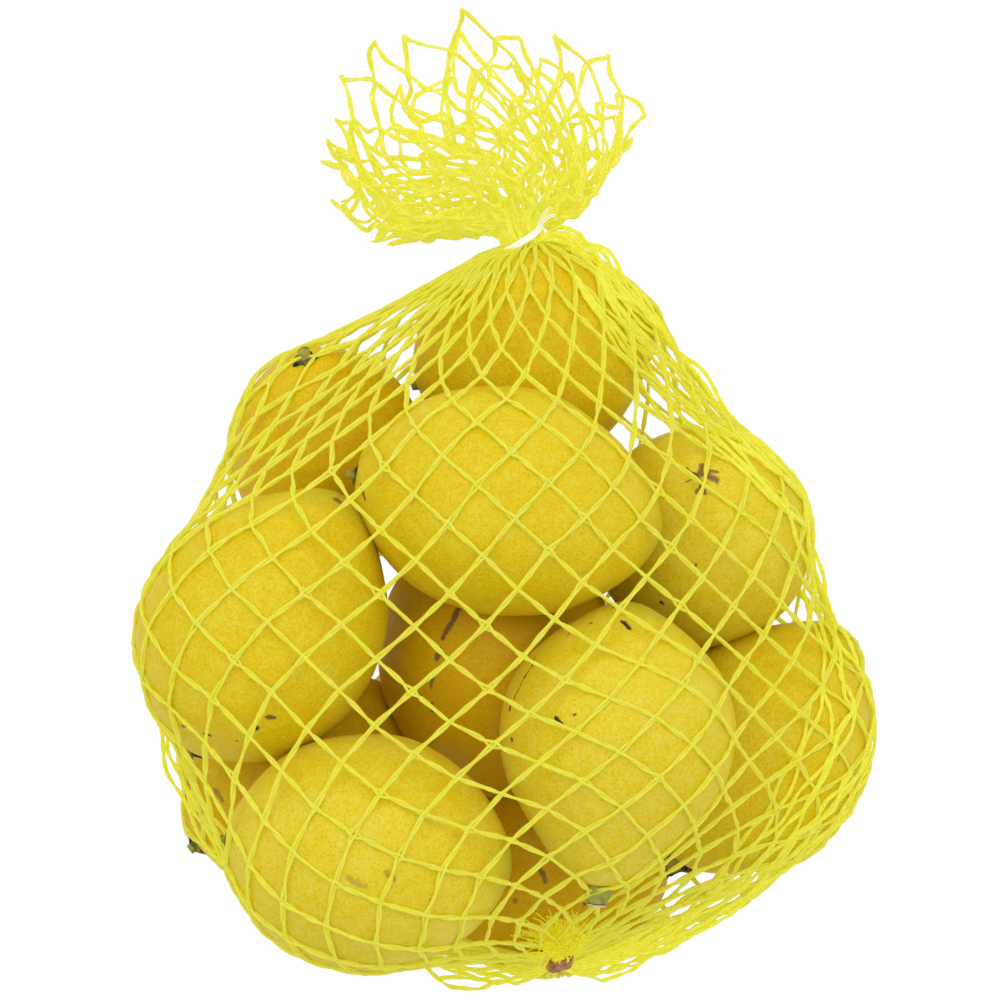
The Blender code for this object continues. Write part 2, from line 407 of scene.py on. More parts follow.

# middle in mm, heading and rise of the stem end in degrees, length, girth and nipple in mm, ripeness with
# painted shade: lemons deep in the pile are set riper, so their peel goes darker and more orange as painted
# shade
lemons = {
    "lemonTop": ((5.5, 38.5, 29.5), 195, -15, 68, 57, 5, 0.35),
    "lemonUpperLeft": ((-48.3, 11.5, 28), 102, 35, 66, 51, 4, 0.75),
    "lemonLeft": ((-63.5, -33, 69.5), 240, -5, 77, 61.5, 4, 0.1),
    "lemonCentre": ((-1.9, -0.8, 72.5), 170, 0, 80, 58, 4, 0.15),
    "lemonRight": ((50.2, -10.4, 33.5), 105, 60, 70, 57, 4, -0.15),
    "lemonLowerRight": ((64, -66.8, 30), 234, 0, 76, 59, 5, 0.1),
    # the last number of lemonShaded, lemonBackLeft and lemonBottom is raised as painted shade, for lying deep
    # in the pile
    "lemonShaded": ((-4, -41.5, 31.5), 94, 0, 75, 63, 5, 1.3),
    "lemonLowerLeft": ((-36.5, -89.5, 79), 175, 0, 73, 59.5, 2, -0.25),
    "lemonMiddleRight": ((27, -60, 75), 263, 0, 73, 60, 3, -0.25),
    "lemonBackLeft": ((-57.8, -73.2, 28), 216, 0, 67, 55, 5, 1.0),
    "lemonBottom": ((10.2, -100.2, 27), 5, 0, 68, 52, 5, 1.15),
}
stemEnd = (2, 15)  # rise of the shoulder at the stem end in mm, and its spread in degrees
drawnOut = {"lemonMiddleRight": (8.5, 27)}  # the same for those that differ
lemonForm = {
    "Nipple Spread": math.radians(19),
    "Stem Dimple": 1.6 * mm,
    "Dimple Spread": math.radians(6),
    "Unevenness": 1.3 * mm,
    "Steps Round": 96,
    "Steps Along": 64,
    "Finish": peel,
}
sizeLabels = ("Length", "Girth", "Nipple Rise", "Stem Rise", "Stem Spread")


def fruitSize(name):
    rise, spread = drawnOut.get(name, stemEnd)
    return (*(value * mm for value in (*lemons[name][3:6], rise)), math.radians(spread))


fruitSizes = {name: fruitSize(name) for name in lemons}


def heading(turn, rise=0.0):
    flat, lift = math.radians(turn), math.radians(rise)
    return Vector((math.cos(flat) * math.cos(lift), math.sin(flat) * math.cos(lift), math.sin(lift)))


def turnTo(way):
    return Vector((0, 0, 1)).rotation_difference(way).to_euler()


def bellCurve(angle, spread, height):
    # height at angle 0, falling away over the spread
    share = angle / spread
    return calc("EXPONENT", share * share * -1.0) * height


def lemonTree():
    sockets = {
        "Length": ("Float", 0.07),
        "Girth": ("Float", 0.055),
        "Nipple Rise": ("Float", 0.005),
        "Nipple Spread": ("Float", 0.33),
        "Stem Rise": ("Float", 0.002),
        "Stem Spread": ("Float", 0.26),
        "Stem Dimple": ("Float", 0.0016),
        "Dimple Spread": ("Float", 0.1),
        "Unevenness": ("Float", 0.0012),
        "Seed": ("Float", 0.0),
        "Ripeness And Shade": ("Float", 0.0),
        "Steps Round": ("Int", 96),
        "Steps Along": ("Int", 64),
        **placing,
        **dressing,
    }
    tree, given = newTree("lemonForm", sockets)
    place = addNode(tree, "GeometryNodeInputPosition")
    lift = partsOf(place)[2]
    angle = calc("ARCCOSINE", lift)
    back = math.pi - angle
    half = (given["Length"] - (given["Nipple Rise"] + given["Stem Rise"])) * 0.5
    wide = given["Girth"] * 0.5
    alongPart = calc("POWER", wide * lift, 2.0)
    acrossPart = calc("POWER", half * calc("SINE", angle), 2.0)
    oval = half * wide / calc("SQRT", alongPart + acrossPart)
    nipple = bellCurve(angle, given["Nipple Spread"], given["Nipple Rise"])
    shoulder = bellCurve(back, given["Stem Spread"], given["Stem Rise"])
    dimple = bellCurve(back, given["Dimple Spread"], given["Stem Dimple"])
    spot = calcVector("ADD", place, addNode(tree, "ShaderNodeCombineXYZ", {"X": given["Seed"]}))
    uneven = (noise(spot, 1.1, 1.0) - 0.5) * 2.0 + (noise(spot, 7.0) - 0.5) * 0.35
    reach = oval + nipple + shoulder - dimple + uneven * given["Unevenness"]
    marked = keepValue(unitBall(tree, given), "alongFruit", lift)
    marked = keepValue(marked, "ripenessAndShade", given["Ripeness And Shade"])
    inputs = {"Geometry": marked, "Position": calcVector("SCALE", place, reach)}
    return finishTree(given, addNode(tree, "GeometryNodeSetPosition", inputs))


def makeLemons():
    tree = lemonTree()
    pieces = []
    for number, (name, (middle, turn, rise, _, _, _, ripenessAndShade)) in enumerate(lemons.items()):
        values = {
            **lemonForm,
            **dict(zip(sizeLabels, fruitSizes[name])),
            "Seed": 3.7 * number,
            "Ripeness And Shade": ripenessAndShade,
            "Middle": Vector(middle) * mm,
            "Turn": turnTo(-heading(turn, rise)),
        }
        piece = buildPiece(name, tree, values)
        finishPiece(piece, "lemon_peel", *(["net_bag"] if number == 0 else []))
        pieces.append(piece)
    print("lemons:", len(pieces), "of", len(pieces[0].data.polygons), "faces each")
    return pieces


lemonPieces = makeLemons()


def pieceTree(piece):
    mesh = piece.data
    corners = [vertex.co.copy() for vertex in mesh.vertices]
    return BVHTree.FromPolygons(corners, [tuple(face.vertices) for face in mesh.polygons])


fruitTrees = [pieceTree(piece) for piece in lemonPieces]
down = Vector((0, 0, -1))

# scars, cracks and spots: plan points in mm that each one runs through, its width in mm, how dark it is
peelMarks = {
    "lemonMiddleRight": (
        (((28, -31), (29.5, -32.5)), 1.5, 1.0),
        (((26, -27.5),), 1.2, 0.9),
        (((20, -31.5),), 1.0, 0.8),
        (((14.5, -34),), 1.0, 0.5),
        (((6, -40), (5, -42.5), (3.5, -44.5), (1.5, -48.5), (-0.5, -53)), 0.7, 0.75),
        (((11, -54.5), (12.5, -56)), 0.9, 1.0),
        (((15.5, -53.5),), 0.8, 0.7),
        (((0, -60.5),), 1.2, 0.7),
        (((-1.5, -68.5),), 1.3, 0.6),
    ),
    "lemonRight": (
        (((39, -27),), 1.2, 1.0),
        (((47.5, -17),), 0.8, 0.7),
        (((48, 6), (49.5, 8.5)), 1.8, 0.55),
        (((48, 6), (50, 6.5), (52.8, 4.5)), 1.8, 0.55),
        (((50, 6.5), (53, 6.8)), 1.2, 0.5),
        (((48, 6), (48.6, 3.5), (49.8, 1)), 1.1, 0.6),
        (((48.6, 3.5), (47.5, 1.3)), 0.9, 0.5),
        (((48, 6), (45, 4.2)), 1.0, 0.5),
        (((48, 6), (45, 7.2)), 1.0, 0.7),
    ),
    "lemonLeft": (
        (((-44, -0.5),), 2.4, 0.6),
        (((-84, -11), (-86, -13)), 2.2, 0.5),
        (((-77, -59), (-76, -59.5)), 1.3, 0.7),
        (((-61, -54.5), (-59.5, -55)), 1.3, 0.6),
        (((-64, -57.5),), 1.7, 0.9),
        (((-69, -61),), 1.1, 0.6),
        (((-83, -57.5), (-81.5, -57.5)), 1.0, 0.5),
    ),
    "lemonShaded": (
        (((-12.6, -27), (-15.4, -32), (-17.6, -36)), 1.4, 0.6),
        (((-18.6, -39), (-19, -41.5)), 1.6, 0.55),
        (((-20.4, -46), (-20.8, -48.5)), 1.3, 0.5),
        (((-20.6, -53), (-20.4, -55)), 1.0, 0.5),
    ),
    "lemonLowerLeft": (
        (((-40, -93.5), (-36.5, -95.5)), 1.6, 0.25),
        (((-31, -92), (-29, -94)), 1.2, 0.3),
        (((-20, -99.5),), 1.3, 0.3),
    ),
    "lemonBottom": (
        (((7.5, -96.5), (9, -99)), 1.5, 0.5),
        (((19, -105.5),), 1.2, 0.6),
        (((1, -104.5),), 1.4, 0.4),
    ),
    "lemonLowerRight": ((((85, -68),), 0.9, 0.8),),
    "lemonUpperLeft": ((((-57.5, 25.5),), 1.0, 0.5),),
    "lemonCentre": ((((-38, 3), (-37, 0)), 1.4, 0.6),),
    "lemonBackLeft": ((((-77, -76), (-75, -78.5)), 1.5, 0.4),),
}
markLook = {
    "scar": (0.33, 0.20, 0.05),
    "dark": (0.055, 0.035, 0.012),
    "stray": 1.1 * mm,  # how ragged their edges are
    "grain": 600,
    "above": 200,  # mm over the floor, from where each one is laid down
}


def markTree():
    # the mark's depth on the line between two points, falling to 0 a width away from it
    kinds = {"Place": "Vector", "From": "Vector", "To": "Vector", "Width": "Float", "Depth": "Float"}
    sockets = {label: (kind, None) for label, kind in kinds.items()}
    tree, given = newTree("peelMark", sockets, "ShaderNodeTree", "Float")
    offset = calcVector("SUBTRACT", given["Place"], given["From"])
    run = calcVector("SUBTRACT", given["To"], given["From"])
    length = calcVector("DOT_PRODUCT", run, run) + 1e-9
    share = calcVector("DOT_PRODUCT", offset, run) / length
    share = calc("MINIMUM", calc("MAXIMUM", share, 0.0), 1.0)
    gap = calcVector("LENGTH", calcVector("SUBTRACT", offset, calcVector("SCALE", run, share)))
    inside = rampOver(gap / given["Width"], 0.25, 0.75, 1.0, 0.0)
    return endTree(tree, inside * given["Depth"])


def markPeel(material, look):
    # lays each mark on the lemon under its plan points
    tree = material.node_tree
    place = placeOn(tree)
    place = calcVector("ADD", place, stray(place, look["grain"], 2 * look["stray"], 3))
    group = markTree()
    total = 0.0
    for name, fruit in zip(lemons, fruitTrees):
        for line, width, depth in peelMarks.get(name, ()):
            points = [fruit.ray_cast(Vector((x, y, look["above"])) * mm, down)[0] for x, y in line]
            points = [point for point in points if point]
            for start, end in zip(points, points[1:] or points):
                inputs = {"Place": place, "From": start, "To": end, "Width": width * mm, "Depth": depth}
                total = calc("MAXIMUM", total, addNode(tree, "ShaderNodeGroup", inputs, node_tree=group))
    tone = colourRamp(total, (0.45, look["scar"]), (0.85, look["dark"]))
    clean = term(tree.nodes["Principled BSDF"].inputs["Base Color"].links[0].from_socket)
    setShader(tree, {"Base Color": mixColour(calc("MINIMUM", total * 2.0, 1.0), clean, tone)})


markPeel(peel, markLook)
print("peel marked on", len(peelMarks), "lemons")

netLayout = {
    "cellsRound": 27,
    "rows": 28,  # half cells from the clip to the band
    "side": 11.8 * mm,  # of a cell
    "clear": 0.5 * mm,  # from a strand's middle to the peel
    "neck": Vector((2.8, 69.5, 32)) * mm,
    "neckHeading": 112,
    "neckRadius": (3.2 * mm, 6.2 * mm),  # strands bunch at between these
    "below": 3,  # mm from the neck's middle down to the last row
    "clip": Vector((12, -120.5, 47.2)) * mm,
    "clipWay": Vector((0.05, -0.45, 0.89)),
    "clipRadius": (0.8 * mm, 2.6 * mm),
    "wrapRings": 61,  # of the wrap that the rows start on, and how far out it looks for fruit, in mm
    "wrapReaches": (20, 150, 2),
    "wrapLeast": 30 * mm,
    "wrapEase": 60,  # rounds that let it bridge the hollows between lemons
    "steps": 700,
    "quickSteps": 150,
}
slackNet = (((50, -88.5, 26), 22.5), ((4, -126, 30), 5))  # where it stands off the fruit
fruits = [
    (np.array(middle) * mm, np.array(-heading(turn, rise)), fruitSizes[name])
    for name, (middle, turn, rise, *_) in lemons.items()
]
nearby = 0.6  # of a lemon's length from its middle: nothing of it lies farther out
outside = 0.1  # metres from a lemon's middle, past all of it


def fruitReach(angle, length, girth, rise, stemRise, stemSpread):
    # the lemon form without its dimple and unevenness
    half = (length - rise - stemRise) / 2
    wide = girth / 2
    oval = half * wide / np.hypot(wide * np.cos(angle), half * np.sin(angle))
    nipple = rise * np.exp(-((angle / lemonForm["Nipple Spread"]) ** 2))
    return oval + nipple + stemRise * np.exp(-(((np.pi - angle) / stemSpread) ** 2))


def pushOut(points, clear):
    # moves points that are inside a lemon, or under the floor, to just outside
    for middle, way, size in fruits:
        offset = points - middle
        far = np.linalg.norm(offset, axis=1)
        near = far < size[0] * nearby
        angle = np.arccos(np.clip(offset[near] @ way / far[near], -1, 1))
        stretch = np.maximum((fruitReach(angle, *size) + clear) / far[near], 1)
        points[near] = middle + offset[near] * stretch[:, None]
    for middle, radius in slackNet:
        offset = points - np.array(middle) * mm
        far = np.linalg.norm(offset, axis=1)
        near = far < radius * mm
        points[near] += offset[near] * (radius * mm / far[near] - 1)[:, None]
    points[:, 2] = np.maximum(points[:, 2], clear)


neckBunch = chance.uniform(*netLayout["neckRadius"], netLayout["cellsRound"])


def across(axis):
    side = Vector((1, 0, 0)) - axis * axis.x
    side.normalize()
    return np.array(side), np.array(side.cross(axis))


def circle(middle, axis, radius, count, shift=0.0):
    side, front = across(axis)
    turns = (np.arange(count) + shift) * 2 * np.pi / count
    around = np.cos(turns)[:, None] * side + np.sin(turns)[:, None] * front
    return np.array(middle) + np.reshape(radius, (-1, 1)) * around


def walkedTo(points, least=0.0):
    # how far each point lies along its line
    steps = np.linalg.norm(np.diff(points, axis=0), axis=-1) + least
    return np.concatenate([np.zeros_like(steps[:1]), np.cumsum(steps, 0)])


def pointsAt(want, walked, points):
    return np.array([np.interp(want, walked, points[:, k]) for k in range(3)]).T


def netWrap(layout, top, lines):
    # a smooth wrap round the fruit, as lines of points from the clip to the top
    middle = np.array((top + layout["clip"]) / 2)
    axis = (top - layout["clip"]).normalized()
    side, front = across(axis)
    tilt = np.linspace(0, np.pi, layout["wrapRings"])[1:-1, None, None]
    turn = (np.arange(lines) * 2 * np.pi / lines)[None, :, None]
    ways = np.cos(tilt) * np.array(axis) + np.sin(tilt) * (np.cos(turn) * side + np.sin(turn) * front)
    reach = np.full(ways.shape[:2], layout["wrapLeast"])
    for far in np.arange(*layout["wrapReaches"]) * mm:
        for fruitMiddle, way, size in fruits:
            offset = middle + ways * far - fruitMiddle
            away = np.linalg.norm(offset, axis=2)
            angle = np.arccos(np.clip(offset @ way / away, -1, 1))
            reach[away < fruitReach(angle, *size)] = far
    for _ in range(layout["wrapEase"]):
        level = reach.copy()
        level[1:-1] = (reach[:-2] + reach[2:]) / 2
        reach = np.maximum(reach, (level + (np.roll(reach, 1, 1) + np.roll(reach, -1, 1)) / 2) / 2)
    wrap = (middle + ways * reach[..., None])[::-1]
    ends = [np.broadcast_to(np.array(end), (1, lines, 3)) for end in (layout["clip"], top)]
    return np.concatenate([ends[0], wrap, ends[1]])


def startRows(layout):
    # rings of net knots, evenly spaced on the wrap
    count, rows = layout["cellsRound"], layout["rows"]
    lines = 4 * count
    neckWay = heading(layout["neckHeading"])
    top = layout["neck"] - neckWay * layout["below"] * mm
    wrap = netWrap(layout, top, lines)
    walked = walkedTo(wrap)
    knots = np.zeros((rows + 1, count, 3))
    for row in range(rows + 1):
        wants = walked[-1] * row / rows
        ring = np.array([pointsAt(wants[line], walked[:, line], wrap[:, line]) for line in range(lines)])
        ring = np.concatenate([ring, ring[:1]])
        around = walkedTo(ring, 1e-9)
        knots[row] = pointsAt((np.arange(count) + 0.5 * (row % 2)) / count * around[-1], around, ring)
    bunched = chance.uniform(*layout["clipRadius"], count)
    knots[0] = circle(layout["clip"], -layout["clipWay"].normalized(), bunched, count)
    knots[rows] = circle(top, neckWay, neckBunch, count, 0.5 * (rows % 2))
    return knots


def latticeLinks(rows, count):
    # each knot is tied to two in the next row: one to the right of it, one to the left
    row, place = [grid.ravel() for grid in np.meshgrid(np.arange(rows), np.arange(count), indexing="ij")]
    start = row * count + place
    right = (row + 1) * count + np.where(row % 2 == 0, place, (place + 1) % count)
    left = (row + 1) * count + np.where(row % 2 == 0, (place - 1) % count, place)
    return row, start, right, left


settling = {
    "ease": 0.25,  # of the way to the mean of its neighbours that a point goes in a step
    "lastEase": 0.1,
    "last": 0.8,  # share of the steps before the last ones
    "giveBack": 0.05,  # share of its slack that a short strand takes up; a long one loses all its stretch
    "rounds": 2,
}


def settleNet(knots, side, steps, hold, press):
    # pulls the lattice taut: every strand keeps its length, and press keeps it out of the fruit
    rows, count = knots.shape[0] - 1, knots.shape[1]
    row, start, right, left = latticeLinks(rows, count)
    nodes = knots.reshape(-1, 3)
    points = np.vstack([nodes, (nodes[start] + nodes[right]) / 2, (nodes[start] + nodes[left]) / 2])
    middleRight = len(nodes) + np.arange(len(start))
    middleLeft = middleRight + len(start)
    groups = []
    for odd in (0, 1):
        chosen = row % 2 == odd
        for middle, end in ((middleRight, right), (middleLeft, left)):
            groups += [(start[chosen], middle[chosen]), (middle[chosen], end[chosen])]
    tails, heads = (np.concatenate(ends) for ends in zip(*groups))
    total = len(points)
    shares = np.bincount(np.concatenate([tails, heads]), minlength=total)[:, None]
    free = np.ones(total)
    for held in hold:
        free[held * count : (held + 1) * count] = 0
    fixed = points[free == 0]
    for step in range(steps):
        sums = [
            np.bincount(tails, points[heads, k], total) + np.bincount(heads, points[tails, k], total)
            for k in range(3)
        ]
        ease = settling["ease" if step < settling["last"] * steps else "lastEase"]
        points += (np.stack(sums, axis=1) / shares - points) * ease * free[:, None]
        for _ in range(settling["rounds"]):
            for a, b in groups:
                apart = points[b] - points[a]
                size = np.linalg.norm(apart, axis=1)
                over = size - side / 2
                share = np.where(over > 0, over, settling["giveBack"] * over) / np.maximum(size, 1e-9)
                pull = share / np.maximum(free[a] + free[b], 1e-9)
                points[a] += apart * (pull * free[a])[:, None]
                points[b] -= apart * (pull * free[b])[:, None]
        press(points)
        points[free == 0] = fixed
    return points[: len(nodes)].reshape(knots.shape), points[middleRight], points[middleLeft]


def layBody(layout):
    def offFruit(points):
        pushOut(points, layout["clear"])

    steps = layout["steps"]
    return settleNet(startRows(layout), layout["side"], steps, (0, layout["rows"]), offFruit)


bodyNet = layBody(netLayout)
bodyKnots = bodyNet[0]
print("net body settled:", bodyKnots.shape)

strandForm = {
    "plyRadius": 0.4 * mm,
    "plyOffset": 0.36 * mm,
    "pitch": 17 * mm,
    "rock": 1.3,  # radians either way, as the plies lean over and under each other
    "split": 1.1 * mm,  # how far the plies part where strands cross
    "splitShare": (0.15, 1.0),  # of that, from crossing to crossing
    "splitReach": 0.27,  # over this share of a cell's side
    "kink": 0.0,  # how far its points stray
    "stepsPerSide": 8,
    "sides": 6,
    "netting": netting,
}


def strandTree():
    sockets = {
        "Geometry": ("Geometry", None),
        "Ply Radius": ("Float", 0.0004),
        "Ply Offset": ("Float", 0.0004),
        "Pitch": ("Float", 0.009),
        "Rock": ("Float", 1.0),
        "Sides": ("Int", 6),
        **dressing,
    }
    tree, given = newTree("twistedStrands", sockets)
    curve = addNode(tree, "GeometryNodeMeshToCurve", {"Mesh": given["Geometry"]})
    tangent = addNode(tree, "GeometryNodeInputTangent")
    along = addNode(tree, "GeometryNodeSplineParameter", output="Length")

    def named(name, kind="FLOAT_VECTOR"):
        return addNode(tree, "GeometryNodeInputNamedAttribute", {"Name": name}, data_type=kind)

    skin = named("skinWay")
    beside = calcVector("NORMALIZE", calcVector("CROSS_PRODUCT", tangent, skin))
    swing = along / given["Pitch"] * (2 * math.pi) + named("twistStart", "FLOAT")
    turn = calc("SINE", swing) * given["Rock"]
    aside = calcVector("SCALE", beside, calc("COSINE", turn))
    twist = calcVector("ADD", aside, calcVector("SCALE", skin, calc("SINE", turn)))
    shift = calcVector("ADD", calcVector("SCALE", twist, given["Ply Offset"]), named("splitWay"))
    inputs = {"Resolution": given["Sides"], "Radius": given["Ply Radius"]}
    profile = addNode(tree, "GeometryNodeCurvePrimitiveCircle", inputs)
    joined = tree.nodes.new("GeometryNodeJoinGeometry")
    for sign in (-1.0, 1.0):
        inputs = {"Geometry": curve, "Offset": calcVector("SCALE", shift, sign)}
        connect(sweep(addNode(tree, "GeometryNodeSetPosition", inputs), profile), joined.inputs[0])
    return finishTree(given, term(joined.outputs[0]))


def neighbours(points):
    # the point after each one of a strand, and the one before it
    ahead = np.concatenate([points[:, 1:], 2 * points[:, -1:] - points[:, -2:-1]], axis=1)
    behind = np.concatenate([2 * points[:, :1] - points[:, 1:2], points[:, :-1]], axis=1)
    return ahead, behind


def smoothLine(points, steps):
    # a curve through the points of each strand, with steps stretches between neighbours
    ahead, behind = neighbours(points)
    slope = (ahead - behind) / 2
    share = (np.arange(steps) / steps)[None, None, :, None]
    a, b = points[:, :-1, None], points[:, 1:, None]
    m, n = slope[:, :-1, None], slope[:, 1:, None]
    blend = (
        a * (2 * share**3 - 3 * share**2 + 1)
        + m * (share**3 - 2 * share**2 + share)
        + b * (3 * share**2 - 2 * share**3)
        + n * (share**3 - share**2)
    )
    made = blend.reshape(len(points), -1, points.shape[2])
    return np.concatenate([made, points[:, -1:]], axis=1)


def followStrand(knots, middles, step):
    # knot numbers of each strand of one family, and its points with the middles between
    rows, count = knots.shape[0] - 1, knots.shape[1]
    _, _, right, left = latticeLinks(rows, count)
    onward = right if step > 0 else left
    chain = np.zeros((count, rows + 1), int)
    chain[:, 0] = np.arange(count)
    for row in range(rows):
        chain[:, row + 1] = onward[chain[:, row]]
    line = np.zeros((count, 2 * rows + 1, 3))
    line[:, 0::2] = knots.reshape(-1, 3)[chain]
    line[:, 1::2] = middles[chain[:, :-1]]
    return chain, line


def strandMesh(name, lines, skins, splits, starts, closed):
    count, length = lines.shape[:2]
    numbers = np.arange(count * length).reshape(count, length)
    onward = np.roll(numbers, -1, axis=1) if closed else numbers[:, 1:]
    edges = np.stack([numbers[:, : onward.shape[1]].ravel(), onward.ravel()], axis=1)
    mesh = bpy.data.meshes.new(name)
    mesh.from_pydata(lines.reshape(-1, 3).tolist(), edges.tolist(), [])
    for label, values, kind, field in (
        ("skinWay", skins, "FLOAT_VECTOR", "vector"),
        ("splitWay", splits, "FLOAT_VECTOR", "vector"),
        ("twistStart", starts, "FLOAT", "value"),
    ):
        layer = mesh.attributes.new(label, kind, "POINT")
        layer.data.foreach_set(field, np.ascontiguousarray(values, dtype=np.float32).ravel())
    return mesh


strandForms = strandTree()


def runStrands(name, form, material, lines, skins, splits, starts, closed=False):
    values = {
        "Ply Radius": form["plyRadius"],
        "Ply Offset": form["plyOffset"],
        "Pitch": form["pitch"],
        "Rock": form["rock"],
        "Sides": form["sides"],
        "Finish": material,
    }
    return buildPiece(name, strandForms, values, strandMesh(name, lines, skins, splits, starts, closed))


def outsideFruit(points, clear):
    # uses the finished lemons, unevenness and all
    flat = points.reshape(-1, 3)
    for tree, (middle, _, size) in zip(fruitTrees, fruits):
        offset = flat - middle
        far = np.linalg.norm(offset, axis=1)
        for number in np.nonzero(far < size[0] * nearby)[0]:
            way = Vector(offset[number] / far[number])
            hit = tree.ray_cast(Vector(middle) + way * outside, -way)
            if hit[0] is None:
                continue
            reach = outside - hit[3] + clear
            if far[number] < reach:
                flat[number] = middle + offset[number] / far[number] * reach
    return flat.reshape(points.shape)


def makeStrands(prefix, form, net, clear=None):
    # both families of strands of a net, kept clear of the fruit where clear is given
    knots, rightMiddles, leftMiddles = net
    steps = form["stepsPerSide"] // 2
    families = {}
    for label, step, middles in (("Rising", 1, rightMiddles), ("Falling", -1, leftMiddles)):
        chain, line = followStrand(knots, middles, step)
        ahead, behind = neighbours(line)
        run = ahead - behind
        run /= np.linalg.norm(run, axis=2, keepdims=True) + 1e-12
        runs = np.zeros_like(knots.reshape(-1, 3))
        runs[chain] = run[:, 0::2]
        families[label] = (chain, line, runs)
    outward = np.cross(families["Rising"][2], families["Falling"][2])
    outward /= np.linalg.norm(outward, axis=1, keepdims=True) + 1e-9
    for label, other, parting in (("Rising", "Falling", 1.0), ("Falling", "Rising", 0.25)):
        chain, line, _ = families[label]
        skin = np.zeros_like(line)
        skin[:, 0::2] = outward[chain]
        skin[:, 1::2] = (skin[:, 0:-2:2] + skin[:, 2::2]) / 2
        line[:, 1:-1] += chance.normal(0, 1, line[:, 1:-1].shape) * form["kink"]
        points = smoothLine(line, steps)
        skins = smoothLine(skin, steps)
        skins /= np.linalg.norm(skins, axis=2, keepdims=True) + 1e-9
        if clear:
            points = outsideFruit(points, clear)
        place = np.arange(points.shape[1]) / (2 * steps)
        nearest = np.rint(place).astype(int)
        bell = np.clip(1 - np.abs(place - nearest) / form["splitReach"], 0, 1)
        size = chance.uniform(*form["splitShare"], chain.shape) * parting
        splits = families[other][2][chain[:, nearest]] * (bell * form["split"])[None, :, None]
        splits = splits * size[:, nearest, None]
        starts = np.repeat(chance.uniform(0, 2 * np.pi, (len(points), 1)), points.shape[1], axis=1)
        piece = runStrands(prefix + label, form, form["netting"], points, skins, splits, starts)
        finishPiece(piece, "netting")
        print(piece.name, len(piece.data.polygons), "faces")


makeStrands("netBody", strandForm, bodyNet, netLayout["clear"])

frillLayout = {
    "rows": 9,
    "side": 11 * mm,
    "size": 1.0,
    "start": 2.5,  # mm past the neck's middle where it starts to open, and how far its end is tucked in
    "tucked": 5.5,
    "firstRow": 0.6,
    "gather": 1.2,  # above 1 its rows lie closer near the band
    "crowd": 0.35,  # how much more of it lies on its left
    "up": 36,  # degrees it spreads towards the viewer, and away
    "down": 16,
    "ruffle": 15,  # degrees that its rim waves up and down
    "sway": 7,  # and from side to side
    "lag": 0.9,  # radians by which the ruffle's waves run round from the band to the rim
    "ragged": 0.05,  # unevenness of the cut edge
    "spikes": 1.6 * mm,
    "crumple": 1.6 * mm,
    "rim": (105, 54),  # plan heading of the rim's middle, and half the fan in degrees
    "backRim": 0.9,  # its far side reaches this much of its near side
    "leftEdge": (186, 27, 54),  # plan heading, how many degrees it droops, at this reach in mm
    "rightEdge": (64, 80, 28),  # plan heading far out, how many degrees it turns, over this reach
    "lowestKnot": 3 * mm,
    "lowest": 2 * mm,
    "steps": 5,
}
# how far the frill reaches in mm at each plan heading, as it was cut and pulled
frillRim = (
    (28, 33), (42, 36), (49, 44), (56, 50), (66, 46), (77, 48), (86, 44), (94, 56), (102, 49),
    (110, 55), (119, 51), (126, 53), (131, 57), (138, 54), (145, 57), (154, 51), (160, 54),
)
innerLayout = {
    **frillLayout,
    "rows": 7,
    "side": 9 * mm,
    "size": 0.66,
    "crowd": 1.1,
    "up": 24,
    "down": 11,
    "ragged": 0.2,
    "spikes": 3 * mm,
    "crumple": 1.2 * mm,
}
frillForm = {
    **strandForm,
    "plyRadius": 0.37 * mm,
    "plyOffset": 0.32 * mm,
    "pitch": 14 * mm,
    "rock": 1.0,
    "split": 1.2 * mm,
    "splitReach": 0.4,
    "kink": 0.5 * mm,
    "netting": frillNetting,
}


def waves(turns, numbers):
    # a random smooth curve round the neck, about 1 high
    sizes = chance.uniform(0.5, 1.0, len(numbers))
    shifts = chance.uniform(0, 2 * np.pi, len(numbers))
    parts = [size * np.sin(number * turns + shift) for number, size, shift in zip(numbers, sizes, shifts)]
    return sum(parts) / math.sqrt(len(numbers) / 2)


